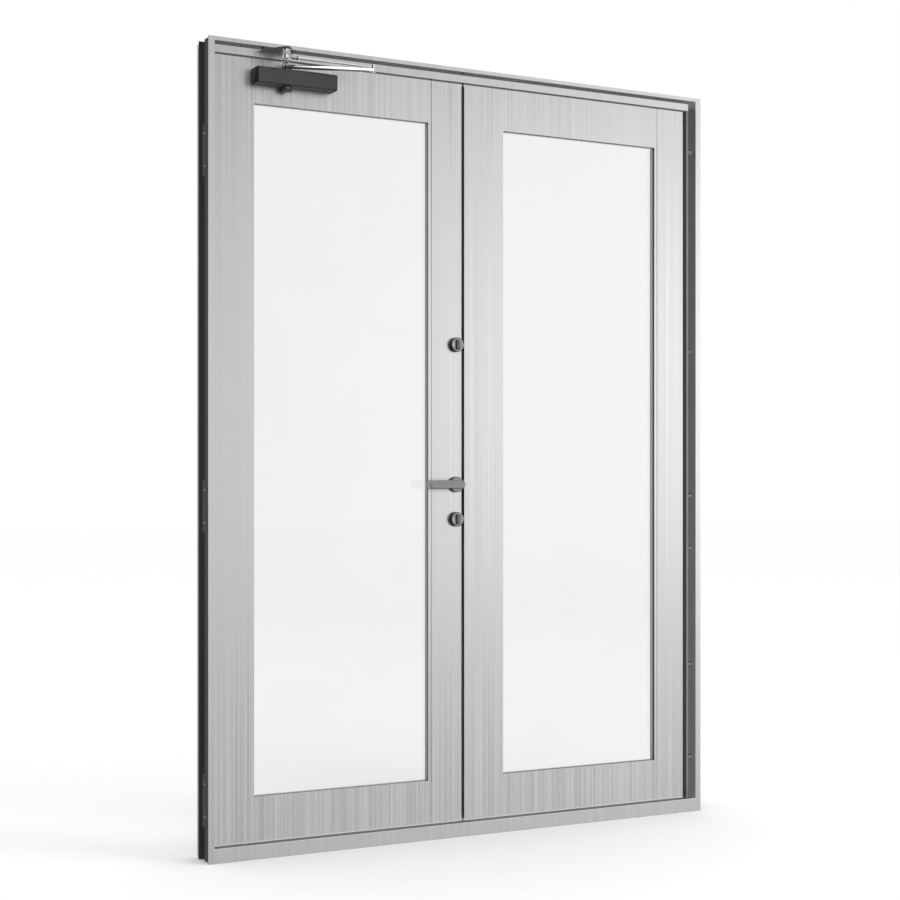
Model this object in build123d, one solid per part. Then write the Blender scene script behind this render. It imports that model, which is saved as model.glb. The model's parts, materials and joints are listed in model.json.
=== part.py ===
from build123d import *
from math import atan2, cos, degrees, radians, sin
import os

# Double door set in folded stainless sheet: a four-sided frame, two glazed leaves,
# a lever set with two lock turns and an overhead closer on the left leaf.
# Millimetres. X runs across the doorway, +Y is the side that the leaves open towards
# and +Z is up. The origin is on the underside of the sill, at the middle of the doorway.

# Frame
frame_width = 1534.0
frame_height = 2100.0
frame_depth = 102.0
sheet = 1.5
jamb_face = 17.0
head_face = 10.0
sill_face = 37.0
sill_bed = 26.0
sill_lip = 3.0
sill_lip_round = 1.2
sill_wall = 2.0
front_box_depth = 46.0
jamb_box_inset = 6.7
head_box_inset = 3.0
fin_depth = 69.0
fin_thickness = 2.0
rear_lip_inset = 8.0

# Wall anchors: pressed conical seats with a screw hole
anchor_depth = 27.0
anchor_hole_radius = 3.5
anchor_seat_radius = 10.0
anchor_seat_depth = 3.5
jamb_anchor_end = 155.0
jamb_anchor_heights = (430.0, 774.0, 928.0, 1354.0)
head_anchor_middle = 159.0
head_anchor_end = 84.0

# Stops that the closed leaves rest against
stop_depth = 38.0
stop_thickness = 19.0
stop_clearance = 0.5
head_stop_height = 20.0
jamb_stop_width = 6.0
sill_stop_height = 5.0

# Leaves
leaf_thickness = 44.5
side_gap = 3.0
meeting_gap = 5.2
meeting_offset = -2.0
head_gap = 4.0
sill_gap = 4.0
left_stile_width = 127.0
right_stile_width = 95.4
inner_strip_width = 9.4
top_rail_height = 132.0
bottom_rail_height = 120.0
seam_chamfer = 0.8
fold_radius = 1.5

# Glazing
rebate_width = 16.0
lip_depth = 9.0
gasket_depth = 7.0
gasket_overlap = 1.0
glass_thickness = 6.0
glass_clearance = 1.0
bead_back_width = 2.0

# Meeting strip on the right leaf
strip_width = 28.0
strip_thickness = 7.5
strip_overhang = 1.8
strip_top_clearance = 6.0
strip_bottom_clearance = 7.5
strip_corner_radius = 6.0

# Hinges
hinge_length = 100.0
top_hinge_drop = 283.0
middle_hinge_height = 906.0
bottom_hinge_height = 154.0
hinge_plate_width = 36.0
hinge_plate_clearance = 0.4
knuckle_count = 5
knuckle_radius = 6.0
knuckle_clearance = 0.5
knuckle_end_clearance = 0.3
hinge_pin_radius = 3.0
pin_running_clearance = 0.1
finial_radius = 4.5
finial_height = 3.0
guard_length = 126.0
guard_depth = 12.0

# Lever and locks
lock_backset = 19.4
lever_height = 962.0
upper_turn_height = 1348.0
lower_turn_height = 866.0
rose_radius = 21.5
rear_rose_radius = 19.5
rose_thickness = 10.0
neck_radius = 7.0
lever_reach = 103.0
rear_lever_reach = 70.0
lever_overhang = 7.0
lever_bar_height = 23.0
lever_bar_thickness = 9.0
lever_projection = 40.0
lever_return = 11.0
lever_return_wall = 8.0
lever_edge_radius = 2.0
spindle_side = 8.0
stile_bore_radius = 11.0
turn_rose_radius = 20.0
turn_rose_thickness = 12.0
turn_stem_radius = 6.0
turn_grip_width = 8.0
turn_grip_height = 27.0
turn_grip_depth = 6.0
turn_clearance = 0.4
cylinder_radius = 8.5
cylinder_projection = 3.0
key_slot_width = 2.0
key_slot_height = 9.0
rose_edge_radius = 1.5
face_plate_width = 20.0
face_plate_thickness = 3.0
face_plate_margin = 69.5
upper_plate_length = 120.0
latch_length = 30.0
latch_width = 12.0
latch_projection = 0.8

# Closer
closer_offset = 122.0
closer_length = 223.0
closer_height = 42.5
closer_projection = 42.0
closer_drop = 26.5
closer_edge_radius = 4.0
spindle_offset = 88.0
spindle_radius = 7.0
boss_radius = 12.5
boss_height = 12.0
arm_rise = 8.0
arm_thickness = 5.0
main_arm_length = 228.5
main_arm_splay = 17.5
arm_hub_radius = 14.0
hub_collar_radius = 11.0
hub_collar_clearance = 1.0
hub_nut_radius = 9.5
hub_nut_height = 8.0
arm_end_radius = 9.0
elbow_pin_radius = 4.0
elbow_nut_radius = 6.5
elbow_nut_height = 3.0
elbow_cap_height = 2.0
forearm_gap = 1.0
forearm_eye_height = 8.0
forearm_rise = 3.5
forearm_rod_radius = 2.5
forearm_sleeve_radius = 3.6
forearm_sleeve_length = 92.0
forearm_nut_radius = 3.9
forearm_nut_length = 15.0
pivot_eye_radius = 11.0
bracket_side = 23.7
bracket_forward = 53.5
bracket_thickness = 6.0
bracket_depth = 30.0
bracket_left = 51.0
bracket_right = 33.0
bracket_tongue_radius = 12.0
stud_radius = 6.0
stud_cap_radius = 11.0
stud_cap_height = 4.0
stud_ring_radius = 12.0
stud_ring_height = 4.0
stud_clearance = 0.3

# Places worked out from the sizes
left_outer = -frame_width / 2
front = -frame_depth / 2
back = frame_depth / 2
reveal = frame_width / 2 - jamb_face
soffit = frame_height - head_face
stop_front = front + stop_depth
stop_back = stop_front + stop_thickness
leaf_front = stop_back + stop_clearance
leaf_back = leaf_front + leaf_thickness
leaf_bottom = sill_bed + sill_gap
leaf_top = soffit - head_gap
head_stop_low = soffit - head_stop_height
sill_stop_high = sill_bed + sill_stop_height
left_leaf_x = -reveal + side_gap
left_leaf_end = meeting_offset - meeting_gap / 2
right_leaf_x = meeting_offset + meeting_gap / 2
right_leaf_end = reveal - side_gap
opening_bottom = leaf_bottom + bottom_rail_height
opening_top = leaf_top - top_rail_height
glass_front = leaf_front + lip_depth + gasket_depth
glass_back = glass_front + glass_thickness
hinge_x = reveal - side_gap / 2
hinge_y = max(back, leaf_back) + knuckle_radius + knuckle_clearance
hinge_heights = (bottom_hinge_height, middle_hinge_height, frame_height - top_hinge_drop)
lock_x = left_leaf_end - lock_backset


def block(x0, x1, y0, y1, z0, z1):
    """A box between two opposite corners."""
    centre = Pos((x0 + x1) / 2, (y0 + y1) / 2, (z0 + z1) / 2)
    return centre * Box(abs(x1 - x0), abs(y1 - y0), abs(z1 - z0))


def upright(x, y, z0, z1, radius):
    """A round bar along Z."""
    return Pos(x, y, (z0 + z1) / 2) * Cylinder(radius, abs(z1 - z0))


def crosswise(x, z, y0, y1, radius):
    """A round bar along Y, through the leaf."""
    return Pos(x, (y0 + y1) / 2, z) * Rot(90, 0, 0) * Cylinder(radius, abs(y1 - y0))


def rectangle(x0, x1, y0, y1):
    """A rectangle in the plan of a section, between two corners."""
    return Pos((x0 + x1) / 2, (y0 + y1) / 2) * Rectangle(abs(x1 - x0), abs(y1 - y0))


def folded_section(face, box_inset):
    """Section of a jamb or head: X runs inwards from the outer edge and Y to the back."""
    walls = rectangle(0, face, 0, sheet)
    walls += rectangle(box_inset, box_inset + sheet, 0, front_box_depth)
    walls += rectangle(box_inset, face, front_box_depth - sheet, front_box_depth)
    walls += rectangle(face - sheet, face, 0, frame_depth)
    walls += rectangle(0, face, fin_depth, fin_depth + fin_thickness)
    walls += rectangle(min(rear_lip_inset, face - sheet), face, frame_depth - sheet, frame_depth)
    return walls


def anchor_seat():
    """Pressed cone that a wall screw sits in, and the void in it, opening towards +Z at 0."""
    outer = Pos(0, 0, -(anchor_seat_depth + sheet) / 2) * Cone(
        anchor_hole_radius + sheet, anchor_seat_radius + sheet, anchor_seat_depth + sheet
    )
    void = Pos(0, 0, -anchor_seat_depth / 2) * Cone(
        anchor_hole_radius, anchor_seat_radius, anchor_seat_depth
    )
    hole = Cylinder(anchor_hole_radius, 2 * jamb_face)
    return outer, void + hole


def with_anchors(member, places):
    """Presses an anchor seat into a frame member at each place."""
    outer, void = anchor_seat()
    for place in places:
        member += place * outer
    for place in places:
        member -= place * void
    return member


def left_jamb():
    section = folded_section(jamb_face, jamb_box_inset)
    jamb = Pos(left_outer, front, 0) * extrude(section, amount=frame_height)
    heights = (jamb_anchor_end, *jamb_anchor_heights, frame_height - jamb_anchor_end)
    places = [Pos(-reveal, front + anchor_depth, z) * Rot(0, 90, 0) for z in heights]
    return with_anchors(jamb, places)


def head():
    section = folded_section(head_face, head_box_inset)
    lying = Rot(0, 90, 0) * extrude(section, amount=2 * reveal)
    bar = Pos(-reveal, front, frame_height) * lying
    places = [
        Pos(side * x, front + anchor_depth, soffit) * Rot(180, 0, 0)
        for side in (-1, 1)
        for x in (head_anchor_middle, reveal - head_anchor_end)
    ]
    return with_anchors(bar, places)


def sill():
    """Hollow bed that the leaves close over, with a raised lip along its front."""
    bed = block(-reveal, reveal, front, back, 0, sill_bed)
    lip = block(-reveal, reveal, front, front + sill_lip, 0, sill_face)
    top_edges = lip.edges().filter_by(Axis.X).group_by(Axis.Z)[-1]
    lip = fillet(top_edges, sill_lip_round)
    hollow = block(
        -reveal, reveal, front + sill_wall, back - sill_wall, sill_wall, sill_bed - sill_wall
    )
    return bed - hollow + lip


def hinge_guards():
    """Covers over the hinge seats, in the recess outside the left jamb."""
    x0 = left_outer + jamb_box_inset
    x1 = -reveal - sheet
    y0 = front + front_box_depth
    y1 = y0 + guard_depth
    guards = []
    for z in hinge_heights:
        low = z - guard_length / 2
        high = z + guard_length / 2
        cover = block(x0, x1, y0, y1, low, high)
        cover -= block(x0 + sheet, x1, y0 + sheet, y1 - sheet, low + sheet, high - sheet)
        guards.append(cover)
    return guards


def knuckle_span(z, index):
    """Lowest and highest point of one knuckle of the hinge centred at height z."""
    pitch = hinge_length / knuckle_count
    low = z - hinge_length / 2 + index * pitch
    return low + knuckle_end_clearance / 2, low + pitch - knuckle_end_clearance / 2


def frame_hinge(z):
    """Hinge plate on the left jamb, its knuckles and the pin with its finials."""
    plate = (side_gap - hinge_plate_clearance) / 2
    x0 = -reveal
    low = z - hinge_length / 2
    high = z + hinge_length / 2
    hinge = block(x0, x0 + plate, back - hinge_plate_width, back, low, high)
    for index in range(0, knuckle_count, 2):
        z0, z1 = knuckle_span(z, index)
        hinge += block(x0, x0 + plate, back, hinge_y, z0, z1)
        hinge += upright(-hinge_x, hinge_y, z0, z1, knuckle_radius)
    hinge += upright(-hinge_x, hinge_y, low, high, hinge_pin_radius)
    hinge += upright(-hinge_x, hinge_y, low - finial_height, low + 1, finial_radius)
    hinge += upright(-hinge_x, hinge_y, high - 1, high + finial_height, finial_radius)
    return hinge


def leaf_hinge(z):
    """Hinge plate on the left leaf's edge and its knuckles round the pin."""
    plate = (side_gap - hinge_plate_clearance) / 2
    x1 = left_leaf_x
    low = z - hinge_length / 2
    high = z + hinge_length / 2
    hinge = block(x1 - plate, x1, leaf_back - hinge_plate_width, leaf_back, low, high)
    for index in range(1, knuckle_count, 2):
        z0, z1 = knuckle_span(z, index)
        hinge += block(x1 - plate, x1, leaf_back, hinge_y, z0, z1)
        hinge += upright(-hinge_x, hinge_y, z0, z1, knuckle_radius)
        bore = hinge_pin_radius + pin_running_clearance
        hinge -= upright(-hinge_x, hinge_y, z0 - 1, z1 + 1, bore)
    return hinge


def mirrored(solids):
    """The same pieces on the other side of the doorway."""
    return [mirror(solid, about=Plane.YZ) for solid in solids]


def leaf_pieces(x0, x1):
    """Stiles, rails, inner strip, glass, gasket and beads of the leaf from x0 to x1."""
    stile_x = x0 + left_stile_width
    seam_x = x1 - right_stile_width
    strip_x = seam_x - inner_strip_width

    def member(a, b, low, high):
        return block(a, b, leaf_front, leaf_back, low, high)

    def ring(y0, y1, inset):
        outside = block(
            stile_x - rebate_width, strip_x + rebate_width, y0, y1,
            opening_bottom - rebate_width, opening_top + rebate_width,
        )
        inside = block(
            stile_x + inset, strip_x - inset, y0 - 1, y1 + 1,
            opening_bottom + inset, opening_top - inset,
        )
        return outside - inside

    def front_corner(solid, x, size):
        edges = solid.edges().filter_by(Axis.Z)
        edges = edges.filter_by_position(Axis.X, x - 0.01, x + 0.01)
        return edges.filter_by_position(Axis.Y, leaf_front - 0.01, leaf_front + 0.01)

    left_stile = member(x0, stile_x, leaf_bottom, leaf_top)
    left_stile = fillet(front_corner(left_stile, x0, fold_radius), fold_radius)
    right_stile = member(seam_x, x1, leaf_bottom, leaf_top)
    right_stile = fillet(front_corner(right_stile, x1, fold_radius), fold_radius)
    right_stile = chamfer(front_corner(right_stile, seam_x, seam_chamfer), seam_chamfer)
    strip = member(strip_x, seam_x, leaf_bottom, leaf_top)
    strip = chamfer(front_corner(strip, seam_x, seam_chamfer), seam_chamfer)
    bottom_rail = member(stile_x, strip_x, leaf_bottom, opening_bottom)
    top_rail = member(stile_x, strip_x, opening_top, leaf_top)
    rebate = block(
        stile_x - rebate_width, strip_x + rebate_width, leaf_front + lip_depth, leaf_back + 1,
        opening_bottom - rebate_width, opening_top + rebate_width,
    )
    glass = block(
        stile_x - rebate_width + glass_clearance, strip_x + rebate_width - glass_clearance,
        glass_front, glass_back,
        opening_bottom - rebate_width + glass_clearance,
        opening_top + rebate_width - glass_clearance,
    )
    middle = Pos((stile_x + strip_x) / 2, glass_back, (opening_bottom + opening_top) / 2)
    bead_depth = leaf_back - glass_back
    bead_narrowing = rebate_width - bead_back_width
    beads = block(
        stile_x - rebate_width, strip_x + rebate_width, glass_back, leaf_back,
        opening_bottom - rebate_width, opening_top + rebate_width,
    )
    beads -= extrude(
        middle * Rot(-90, 0, 0) * Rectangle(strip_x - stile_x, opening_top - opening_bottom),
        amount=bead_depth, taper=-degrees(atan2(bead_narrowing, bead_depth)),
    )
    return {
        "left_stile": left_stile - rebate,
        "right_stile": right_stile - rebate,
        "inner_strip": strip - rebate,
        "bottom_rail": bottom_rail - rebate,
        "top_rail": top_rail - rebate,
        "glass": glass,
        "gasket": ring(leaf_front + lip_depth, glass_front, gasket_overlap),
        "glazing_beads": beads,
    }


def lock_stile_cuts():
    """Bores for the lever and lock stems, and the seats of the face plates in the edge."""
    cuts = [crosswise(lock_x, lever_height, leaf_front - 1, leaf_back + 1, stile_bore_radius)]
    for z in (upper_turn_height, lower_turn_height):
        bore = turn_stem_radius + pin_running_clearance
        cuts.append(crosswise(lock_x, z, leaf_front - 1, leaf_back + 1, bore))
    return cuts + face_plate_blanks(left_leaf_end - face_plate_thickness, left_leaf_end)


def face_plate_blanks(x0, x1):
    """Plate-shaped blocks in a leaf's edge: one by the upper lock, one by lever and lower lock."""
    middle = (leaf_front + leaf_back) / 2
    y0 = middle - face_plate_width / 2
    y1 = middle + face_plate_width / 2
    spans = (
        (upper_turn_height - upper_plate_length / 2, upper_turn_height + upper_plate_length / 2),
        (
            min(lever_height, lower_turn_height) - face_plate_margin,
            max(lever_height, lower_turn_height) + face_plate_margin,
        ),
    )
    return [block(x0, x1, y0, y1, low, high) for low, high in spans]


def face_plates():
    """Lock face plates with the noses of the drawn-back latch and bolts."""
    plates = face_plate_blanks(left_leaf_end - face_plate_thickness, left_leaf_end)
    middle = (leaf_front + leaf_back) / 2
    noses = ((upper_turn_height, 0), (lever_height, 1), (lower_turn_height, 1))
    for z, index in noses:
        plates[index] += block(
            left_leaf_end - face_plate_thickness, left_leaf_end + latch_projection,
            middle - latch_width / 2, middle + latch_width / 2,
            z - latch_length / 2, z + latch_length / 2,
        )
    return plates


def strike_plates():
    """Plates in the right leaf's edge with windows for the latch and bolts."""
    x0 = right_leaf_x
    x1 = right_leaf_x + face_plate_thickness
    plates = face_plate_blanks(x0, x1)
    middle = (leaf_front + leaf_back) / 2
    windows = ((upper_turn_height, 0), (lever_height, 1), (lower_turn_height, 1))
    for z, index in windows:
        plates[index] -= block(
            x0 - 1, x1 + 1,
            middle - latch_width / 2 - 1, middle + latch_width / 2 + 1,
            z - latch_length / 2 - 1, z + latch_length / 2 + 1,
        )
    return plates


def meeting_strip():
    """Flat strip along the right leaf's meeting edge, rounded at its right corners."""
    x0 = right_leaf_x - strip_overhang
    x1 = x0 + strip_width
    low = sill_stop_high + strip_bottom_clearance
    high = head_stop_low - strip_top_clearance
    strip = block(x0, x1, leaf_front - strip_thickness, leaf_front, low, high)
    corners = strip.edges().filter_by(Axis.Y).filter_by_position(Axis.X, x1 - 1, x1 + 1)
    return fillet(corners, min(strip_corner_radius, strip_width / 2 - 1))


def lever_handle(reach):
    """Front lever: neck, flat bar to the left and a rounded return towards the leaf."""
    bar_middle = leaf_front - lever_projection
    bar_front = bar_middle - lever_bar_thickness / 2
    bar_back = bar_middle + lever_bar_thickness / 2
    tip = lock_x - reach
    half = lever_bar_height / 2
    straight = block(
        tip + half, lock_x + lever_overhang, bar_front, bar_back,
        lever_height - half, lever_height + half,
    )
    corners = straight.edges().filter_by(Axis.Y).group_by(Axis.X)[-1]
    straight = fillet(corners, half - 0.5)
    bar = straight + crosswise(tip + half, lever_height, bar_front, bar_back, half)
    bar = fillet(bar.faces().sort_by(Axis.Y)[0].edges(), lever_edge_radius)
    tip_round = crosswise(tip + half, lever_height, bar_back, bar_back + lever_return, half)
    tip_hollow = crosswise(
        tip + half + lever_return_wall, lever_height, bar_back, bar_back + lever_return, half
    )
    right_half = block(
        tip + half, tip + 2 * lever_bar_height, bar_back, bar_back + lever_return,
        lever_height - half, lever_height + half,
    )
    bar += tip_round - tip_hollow - right_half
    return bar + crosswise(lock_x, lever_height, bar_back, leaf_front, neck_radius)


def to_rear(solid):
    """The same piece on the leaf's other face."""
    middle = (leaf_front + leaf_back) / 2
    return mirror(solid, about=Plane.XZ.offset(-middle))


def rear_lever_handle():
    """Shorter lever on the leaf's back, which hangs down from the same spindle."""
    axis = Pos(lock_x, 0, lever_height)
    return axis * Rot(0, -90, 0) * axis.inverse() * to_rear(lever_handle(rear_lever_reach))


def lever_spindle():
    half = spindle_side / 2
    return block(
        lock_x - half, lock_x + half, leaf_front, leaf_back,
        lever_height - half, lever_height + half,
    )


def rose(z, radius, thickness, bore):
    """Round rose on the leaf's front with a rounded rim and a bore for the stem."""
    disc = crosswise(lock_x, z, leaf_front - thickness, leaf_front, radius)
    rim = disc.edges().filter_by(GeomType.CIRCLE).group_by(Axis.Y)[0]
    disc = fillet(rim, rose_edge_radius)
    return disc - crosswise(lock_x, z, leaf_front - thickness - 1, leaf_front + 1, bore)


def lock_turn(z):
    """Thumb turn: a stem through the rose and a flat upright grip."""
    rose_front = leaf_front - turn_rose_thickness
    grip_back = rose_front - turn_clearance
    grip = block(
        lock_x - turn_grip_width / 2, lock_x + turn_grip_width / 2,
        grip_back - turn_grip_depth, grip_back,
        z - turn_grip_height / 2, z + turn_grip_height / 2,
    )
    outer = grip.edges().filter_by(Axis.X).group_by(Axis.Y)[0]
    grip = fillet(outer, turn_grip_depth / 3)
    return grip + crosswise(lock_x, z, grip_back, leaf_back - turn_clearance, turn_stem_radius)


def rear_key_roses():
    """Roses on the leaf's back with a key cylinder at each lock."""
    roses = []
    for z in (upper_turn_height, lower_turn_height):
        disc = to_rear(rose(z, rear_rose_radius, rose_thickness, cylinder_radius))
        face = leaf_back + rose_thickness + cylinder_projection
        core = crosswise(lock_x, z, leaf_back, face, cylinder_radius)
        core -= block(
            lock_x - key_slot_width / 2, lock_x + key_slot_width / 2,
            face - cylinder_projection, face + 1,
            z - key_slot_height / 2, z + key_slot_height / 2,
        )
        roses.append(disc + core)
    return roses


# The closer's plan: spindle, elbow and bracket pivot
closer_x = left_leaf_x + closer_offset
spindle_x = closer_x + spindle_offset
spindle_y = leaf_front - closer_projection / 2
elbow_x = spindle_x + main_arm_length * cos(radians(main_arm_splay))
elbow_y = spindle_y - main_arm_length * sin(radians(main_arm_splay))
pivot_x = spindle_x - bracket_side
pivot_y = spindle_y - bracket_forward
closer_top = head_stop_low - closer_drop
closer_bottom = closer_top - closer_height
arm_low = closer_top + arm_rise
arm_high = arm_low + arm_thickness
forearm_low = arm_high + forearm_gap
forearm_high = forearm_low + forearm_eye_height
pivot_eye_low = forearm_low + forearm_rise
pivot_eye_high = forearm_high + forearm_rise
bracket_low = soffit - bracket_thickness


def closer_body():
    """Closer case with rounded front edges, the cap under the spindle and the spindle bore."""
    case = block(
        closer_x, closer_x + closer_length, leaf_front - closer_projection, leaf_front,
        closer_bottom, closer_top,
    )
    rounded = case.edges().group_by(Axis.Y)[0]
    case = fillet(rounded, closer_edge_radius)
    case += upright(spindle_x, spindle_y, closer_bottom - boss_height, closer_bottom, boss_radius)
    bore = spindle_radius + pin_running_clearance
    return case - upright(spindle_x, spindle_y, closer_bottom - boss_height / 2, closer_top + 1, bore)


def closer_main_arm():
    """Flat tapered arm, its collar and nut on the spindle, and the pin of the elbow."""
    outline = make_hull(
        (Pos(spindle_x, spindle_y) * Circle(arm_hub_radius)).edges()
        + (Pos(elbow_x, elbow_y) * Circle(arm_end_radius)).edges()
    )
    arm = Pos(0, 0, arm_low) * extrude(outline, amount=arm_thickness)
    spindle_low = closer_bottom - boss_height / 2 + 1
    collar_low = closer_top + hub_collar_clearance
    arm += upright(spindle_x, spindle_y, spindle_low, arm_high, spindle_radius)
    arm += upright(spindle_x, spindle_y, collar_low, arm_low, hub_collar_radius)
    hub_nut = extrude(RegularPolygon(hub_nut_radius, 6), amount=hub_nut_height)
    arm += Pos(spindle_x, spindle_y, arm_high) * hub_nut
    elbow_nut = extrude(RegularPolygon(elbow_nut_radius, 6), amount=elbow_nut_height)
    arm += Pos(elbow_x, elbow_y, arm_low - elbow_nut_height) * elbow_nut
    cap_low = forearm_high + stud_clearance
    arm += upright(elbow_x, elbow_y, arm_low, cap_low, elbow_pin_radius)
    return arm + upright(elbow_x, elbow_y, cap_low, cap_low + elbow_cap_height, elbow_nut_radius)


def closer_forearm():
    """Forearm from the elbow up to the bracket: two eyes, a rod, a lock nut and a sleeve."""
    start = Vector(elbow_x, elbow_y, (forearm_low + forearm_high) / 2)
    end = Vector(pivot_x, pivot_y, (pivot_eye_low + pivot_eye_high) / 2)
    run = end - start
    along = Plane(origin=start, z_dir=run)
    rod_length = run.length - arm_end_radius
    rod = along * Pos(0, 0, run.length / 2) * Cylinder(forearm_rod_radius, rod_length)
    sleeve_middle = run.length - arm_end_radius / 2 - forearm_sleeve_length / 2
    sleeve = along * Pos(0, 0, sleeve_middle) * Cylinder(forearm_sleeve_radius, forearm_sleeve_length)
    nut = extrude(RegularPolygon(forearm_nut_radius, 6), amount=forearm_nut_length)
    arm = rod + sleeve + along * Pos(0, 0, arm_end_radius / 2) * nut
    arm += upright(elbow_x, elbow_y, forearm_low, forearm_high, arm_end_radius)
    arm += upright(pivot_x, pivot_y, pivot_eye_low, pivot_eye_high, pivot_eye_radius)
    bore = elbow_pin_radius + pin_running_clearance
    return arm - upright(elbow_x, elbow_y, forearm_low - 1, forearm_high + 1, bore)


def closer_stud():
    """Ringed stud that stands on the forearm's eye, just under the bracket."""
    top = bracket_low - stud_clearance
    cap_low = top - stud_cap_height
    stud = upright(pivot_x, pivot_y, pivot_eye_high, top, stud_radius)
    stud += upright(pivot_x, pivot_y, cap_low, top, stud_cap_radius)
    ring_low = (pivot_eye_high + cap_low - stud_ring_height) / 2
    ring = upright(pivot_x, pivot_y, ring_low, ring_low + stud_ring_height, stud_ring_radius)
    return stud + fillet(ring.edges().filter_by(GeomType.CIRCLE), stud_ring_height / 2 - 0.2)


def closer_bracket():
    """Plate under the head's soffit with a tongue that reaches forward to the arm's pivot."""
    x0 = pivot_x - bracket_left
    x1 = pivot_x + bracket_right
    base = rectangle(x0, x1, front, front + bracket_depth)
    tongue = make_hull(
        (Pos(pivot_x, pivot_y) * Circle(bracket_tongue_radius)).edges()
        + rectangle(x0 + bracket_left / 2, x1 - bracket_right / 4, front, front + 1).edges()
    )
    return Pos(0, 0, bracket_low) * extrude(base + tongue, amount=bracket_thickness)


def write(name, solids):
    """Writes one node from a solid or a list of separate solids."""
    if not isinstance(solids, list):
        solids = [solids]
    parts = [piece for solid in solids for piece in solid.solids()]
    shape = parts[0] if len(parts) == 1 else Compound(children=parts)
    export_step(shape, f"parts/{name}.step")


def write_frame():
    jamb = left_jamb()
    write("left_jamb", jamb)
    write("right_jamb", mirrored([jamb]))
    write("head", head())
    write("sill", sill())
    write("head_stop", block(-reveal, reveal, stop_front, stop_back, head_stop_low, soffit))
    write("sill_stop", block(-reveal, reveal, stop_front, stop_back, sill_bed, sill_stop_high))
    side_stop = block(
        -reveal, -reveal + jamb_stop_width, stop_front, stop_back, sill_stop_high, head_stop_low
    )
    write("left_jamb_stop", side_stop)
    write("right_jamb_stop", mirrored([side_stop]))
    guards = hinge_guards()
    write("left_hinge_guards", guards)
    write("right_hinge_guards", mirrored(guards))
    hinges = [frame_hinge(z) for z in hinge_heights]
    write("left_frame_hinges", hinges)
    write("right_frame_hinges", mirrored(hinges))
    write("closer_bracket", closer_bracket())


def write_leaves():
    hinges = [leaf_hinge(z) for z in hinge_heights]
    left = leaf_pieces(left_leaf_x, left_leaf_end)
    for cut in lock_stile_cuts():
        left["right_stile"] -= cut
    right = leaf_pieces(right_leaf_x, right_leaf_end)
    for cut in face_plate_blanks(right_leaf_x, right_leaf_x + face_plate_thickness):
        right["left_stile"] -= cut
    for name, solid in left.items():
        write(f"left_leaf_{name}", solid)
    for name, solid in right.items():
        write(f"right_leaf_{name}", solid)
    write("left_leaf_hinges", hinges)
    write("right_leaf_hinges", mirrored(hinges))
    write("meeting_strip", meeting_strip())
    write("lock_face_plates", face_plates())
    write("strike_plates", strike_plates())


def write_lever_and_locks():
    bore = neck_radius + pin_running_clearance
    front_rose = rose(lever_height, rose_radius, rose_thickness, bore)
    rear_rose = to_rear(rose(lever_height, rear_rose_radius, rose_thickness, bore))
    write("lever_roses", [front_rose, rear_rose])
    write("front_lever", lever_handle(lever_reach))
    write("rear_lever", rear_lever_handle())
    write("lever_spindle", lever_spindle())
    stem_bore = turn_stem_radius + pin_running_clearance
    heights = (upper_turn_height, lower_turn_height)
    write(
        "turn_roses",
        [rose(z, turn_rose_radius, turn_rose_thickness, stem_bore) for z in heights],
    )
    write("rear_key_roses", rear_key_roses())
    write("upper_lock_turn", lock_turn(upper_turn_height))
    write("lower_lock_turn", lock_turn(lower_turn_height))


def write_closer():
    write("closer_body", closer_body())
    write("closer_main_arm", closer_main_arm())
    write("closer_forearm", closer_forearm())
    write("closer_stud", closer_stud())


os.makedirs("parts", exist_ok=True)
write_frame()
write_leaves()
write_lever_and_locks()
write_closer()
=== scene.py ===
import json
import math

import bmesh
import bpy
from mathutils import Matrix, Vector


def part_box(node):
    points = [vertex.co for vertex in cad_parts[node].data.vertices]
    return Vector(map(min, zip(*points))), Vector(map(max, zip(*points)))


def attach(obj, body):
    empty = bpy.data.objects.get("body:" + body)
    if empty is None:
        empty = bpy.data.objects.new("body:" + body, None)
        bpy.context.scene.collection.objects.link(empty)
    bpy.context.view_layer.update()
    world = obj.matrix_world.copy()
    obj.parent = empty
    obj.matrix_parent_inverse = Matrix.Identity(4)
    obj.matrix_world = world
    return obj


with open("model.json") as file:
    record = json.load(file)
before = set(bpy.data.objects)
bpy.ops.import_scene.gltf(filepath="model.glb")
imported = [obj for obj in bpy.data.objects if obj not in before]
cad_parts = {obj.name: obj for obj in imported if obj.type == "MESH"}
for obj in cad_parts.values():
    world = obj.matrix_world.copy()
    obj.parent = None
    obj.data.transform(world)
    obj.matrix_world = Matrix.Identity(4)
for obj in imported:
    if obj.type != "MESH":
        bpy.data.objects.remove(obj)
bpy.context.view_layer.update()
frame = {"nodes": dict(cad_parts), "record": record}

# Camera: a level view from the front left, framed with a small vertical shift
CAMERA_PLACE = (-2.288, -4.174, 0.965)
CAMERA_TURN = 28.25
CAMERA_LENS = 68.78
SENSOR_WIDTH = 36.0
HORIZON_SHIFT = 0.0371

# Floor
FLOOR_SIZE = 60.0
FLOOR_DROP = 0.0005
FLOOR_WHITE = 0.99

# Key lamp, aimed at the middle of the door set
LAMP_PLACE = (3.6, -4.6, 3.4)
LAMP_AIM = (0.0, 0.0, 1.0)
LAMP_SIZE = 2.6
LAMP_POWER = 90.0

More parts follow.
